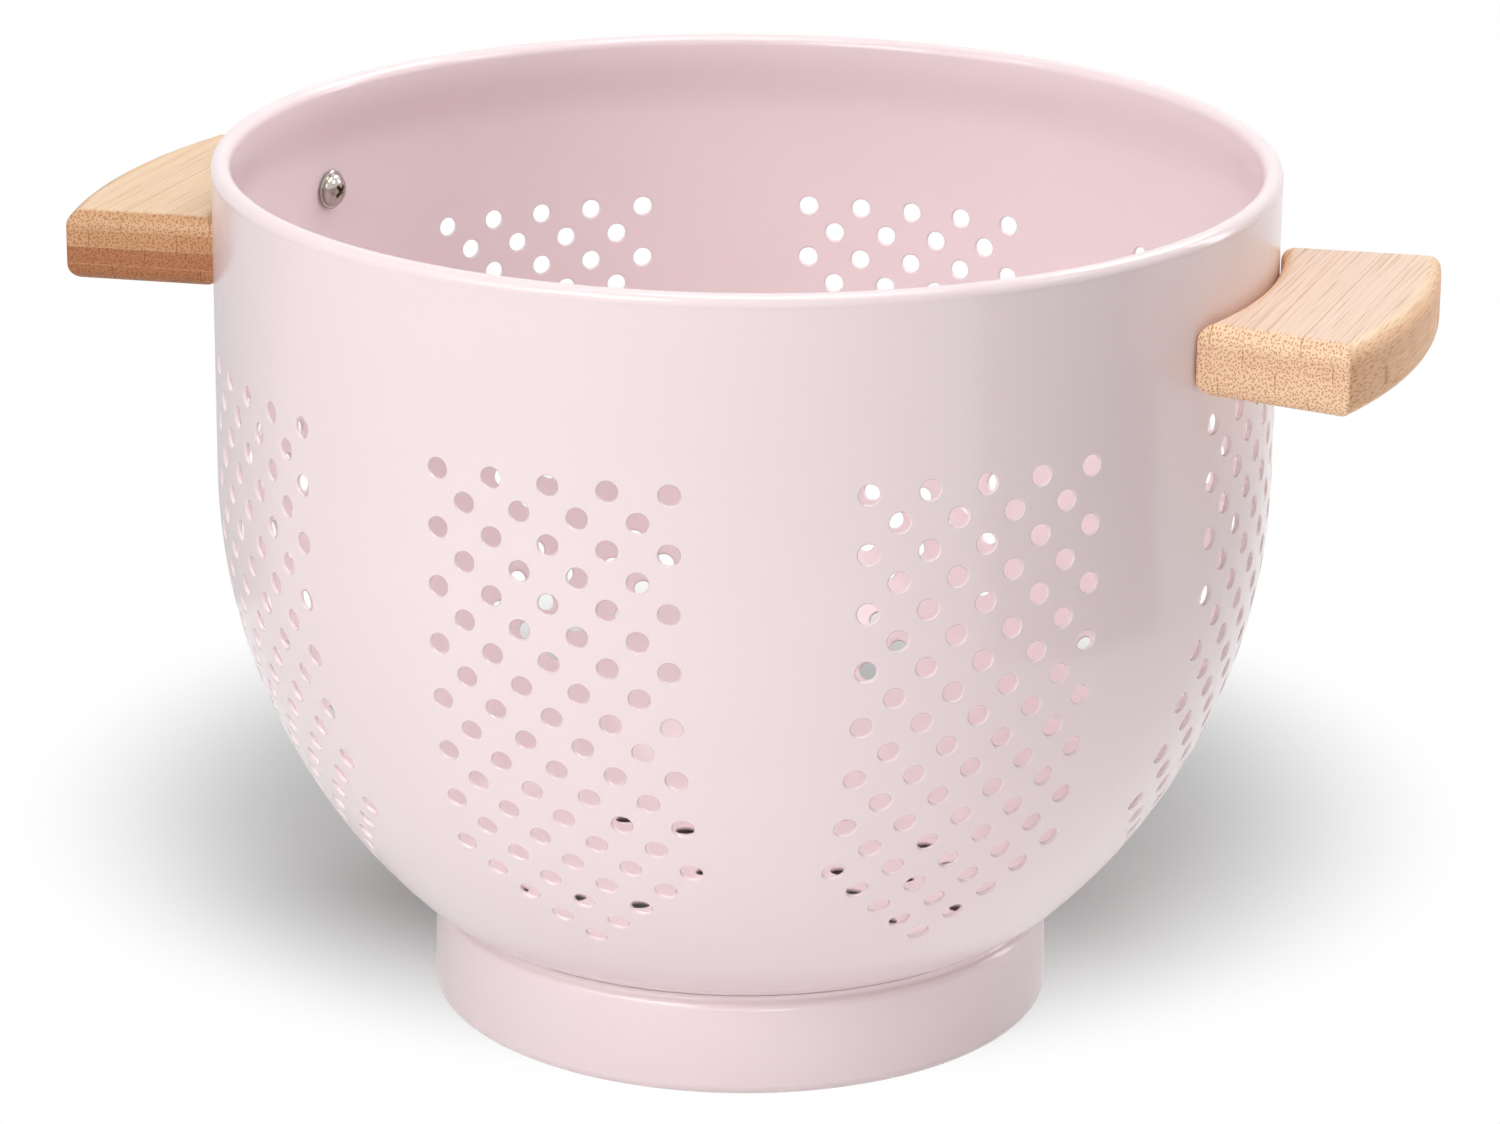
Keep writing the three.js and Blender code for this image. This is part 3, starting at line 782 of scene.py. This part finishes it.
def make_painted_reflection(name, start, end, level):
    """A card on the table that only reflections show, from one angle round the object to another: a
    painted reflection that darkens the enamel on that side.

    The angles are in degrees from the camera's side to the right, and the level is a share of full white.
    """
    corners = []
    for angle, reach in ((start, CARD_NEAR), (start, CARD_FAR), (end, CARD_FAR), (end, CARD_NEAR)):
        side = math.radians(angle)
        corners.append(as_seen((reach * math.sin(side), -reach * math.cos(side), CARD_HEIGHT)))
    shader = Shader(name)
    shader.set(Base_Color=grey(PAINTED_REFLECTION_GREY), Specular_IOR_Level=0.0, Emission_Strength=level)
    card = stage_sheet(name, corners, shader.material)
    card.visible_camera = False
    card.visible_diffuse = False
    card.visible_transmission = False
    card.visible_shadow = False


def camera_axes():
    """Right, down and forward directions of the camera in the frame."""
    pitch, yaw, roll = (math.radians(a) for a in (CAMERA_PITCH, CAMERA_YAW, CAMERA_ROLL))
    right = Vector((1, 0, 0))
    down = Vector((0, -math.sin(pitch), -math.cos(pitch)))
    forward = Vector((0, math.cos(pitch), -math.sin(pitch)))
    turned_right = math.cos(yaw) * right + math.sin(yaw) * forward
    forward = math.cos(yaw) * forward - math.sin(yaw) * right
    right = math.cos(roll) * turned_right + math.sin(roll) * down
    down = math.cos(roll) * down - math.sin(roll) * turned_right
    return right, down, forward


def make_camera():
    data = bpy.data.cameras.new("camera")
    data.sensor_fit = "HORIZONTAL"
    data.sensor_width = SENSOR_WIDTH
    data.lens = SENSOR_WIDTH * FOCAL_PIXELS / PICTURE_WIDTH
    data.clip_end = CAMERA_SIGHT
    camera = bpy.data.objects.new("camera", data)
    right, down, forward = camera_axes()
    stand = Matrix((right, -down, -forward)).transposed().to_4x4()
    stand.translation = MM * Vector((0, -CAMERA_BACK, CAMERA_HEIGHT))
    camera.matrix_world = Matrix.Rotation(math.radians(CAMERA_TURN), 4, "Z") @ stand
    bpy.context.scene.collection.objects.link(camera)
    bpy.context.scene.camera = camera


def make_light(name, place, aim, size, power, spread=180):
    """A soft rectangular lamp.

    Place, aim and size are in metres as the camera sees them, power in watts, spread in degrees.
    """
    data = bpy.data.lights.new(name, "AREA")
    data.shape = "RECTANGLE"
    data.size, data.size_y = size
    data.energy = power
    data.spread = math.radians(spread)
    lamp = bpy.data.objects.new(name, data)
    lamp.location = as_seen(place)
    lamp.rotation_euler = (as_seen(aim) - lamp.location).to_track_quat("-Z", "Y").to_euler()
    bpy.context.scene.collection.objects.link(lamp)


def make_world():
    """A white room: seen and mirrored as plain white, and weaker where it lights the object."""
    world = bpy.data.worlds.new("studio")
    bpy.context.scene.world = world
    world.use_nodes = True
    tree = world.node_tree
    background = tree.nodes["Background"]
    background.inputs["Color"].default_value = (1, 1, 1, 1)
    path = tree.nodes.new("ShaderNodeLightPath").outputs
    strength = None
    for ray in ("Is Camera Ray", "Is Glossy Ray", "Is Transmission Ray"):
        brighter = tree.nodes.new("ShaderNodeMath")
        brighter.operation = "MAXIMUM"
        brighter.inputs[0].default_value = ROOM_LIGHT
        tree.links.new(path[ray], brighter.inputs[1])
        if strength:
            tree.links.new(strength, brighter.inputs[0])
        strength = brighter.outputs[0]
    tree.links.new(strength, background.inputs["Strength"])


def dress(piece, material, slot, *nodes):
    """Gives a piece its material, hangs it under the root body and hides the solids that it stands for."""
    piece.data.materials.clear()
    piece.data.materials.append(material)
    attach(piece, "root")
    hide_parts(*nodes)


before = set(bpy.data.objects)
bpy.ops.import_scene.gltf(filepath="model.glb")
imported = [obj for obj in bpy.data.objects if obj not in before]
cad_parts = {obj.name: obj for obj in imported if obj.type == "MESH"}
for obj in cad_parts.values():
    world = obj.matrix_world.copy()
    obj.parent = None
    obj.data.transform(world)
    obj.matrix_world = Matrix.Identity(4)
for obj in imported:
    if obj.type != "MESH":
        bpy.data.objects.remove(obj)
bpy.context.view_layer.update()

enamel = enamel_material()
# The last colour of each handle is its flat top's painted sheen
bamboo = {
    "right": bamboo_material(
        "bamboo_pale", srgb(245, 211, 175), srgb(240, 205, 171), srgb(245, 214, 177), srgb(231, 204, 183)
    ),
    "left": bamboo_material(
        "bamboo_banded", srgb(170, 110, 65), srgb(189, 139, 93), srgb(200, 157, 114), srgb(232, 202, 168)
    ),
}
steel = metal_material("polished_steel", srgb(214, 208, 200), 0.16)
brass = metal_material("turned_brass", srgb(216, 178, 106), 0.3)

dress(make_bowl(), enamel, "pink_enamel", "bowl")
dress(make_foot_ring(), enamel, "pink_enamel", "foot_ring")
for side_name, side_turn in (("right", 0.0), ("left", math.pi)):
    handle = make_handle(f"handle_{side_name}_bamboo", side_turn)
    dress(handle, bamboo[side_name], "bamboo", f"handle_{side_name}")

screw_angle = math.asin(SCREW_SPACING / 2 / WALL_RADIUS)
cut_screw = screw_mesh()
for place_name, place_turn in (
    ("right_front", -screw_angle),
    ("right_back", screw_angle),
    ("left_back", math.pi - screw_angle),
    ("left_front", math.pi + screw_angle),
):
    screw = make_screw(f"screw_{place_name}", cut_screw, place_turn)
    dress(screw, steel, "steel", f"handle_screw_{place_name}")
    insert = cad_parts[f"threaded_insert_{place_name}"]
    insert.data.materials.clear()
    insert.data.materials.append(brass)

make_floor()
# Painted reflections, seen only in the enamel: a dark card on the right and a dimly glowing grey card on
# the left
make_painted_reflection("right_painted_reflection", 46, 88, 0.0)
make_painted_reflection("left_painted_reflection", -108, -165, 0.65)
make_camera()
make_world()
make_light("key_softbox", (-0.56, -0.95, 0.85), (0, 0, 0.08), (0.55, 0.55), 6.3)
make_light("left_softbox", (-0.95, -0.7, 0.7), (0, 0, 0.08), (0.45, 0.45), 2)
make_light("front_softbox", (-0.2, -1.2, 0.15), (0, 0, 0.04), (1.2, 0.2), 1.9)
make_light("back_softbox", (0.72, 0.65, 1.1), (0, 0, 0.08), (0.45, 0.45), 6.5)
make_light("right_strip", (1.0, 0.4, 0.35), (0, 0, 0.1), (0.15, 0.7), 1.7)
make_light("top_softbox", (0.08, -0.15, 1.4), (0, 0, 0), (0.8, 0.8), 7.2)
make_light("foot_strip", (0.2, -0.6, 0.04), (0.03, 0, 0.02), (0.6, 0.04), 0.026, 28)
make_light("inner_left_softbox", (0.55, -0.15, 0.62), (-0.1, 0.03, 0.16), (0.15, 0.15), 0.013, 16)
make_light("inner_right_softbox", (-0.55, -0.15, 0.62), (0.1, 0.03, 0.16), (0.15, 0.15), 0.011, 16)
bpy.context.scene.view_settings.view_transform = "Standard"
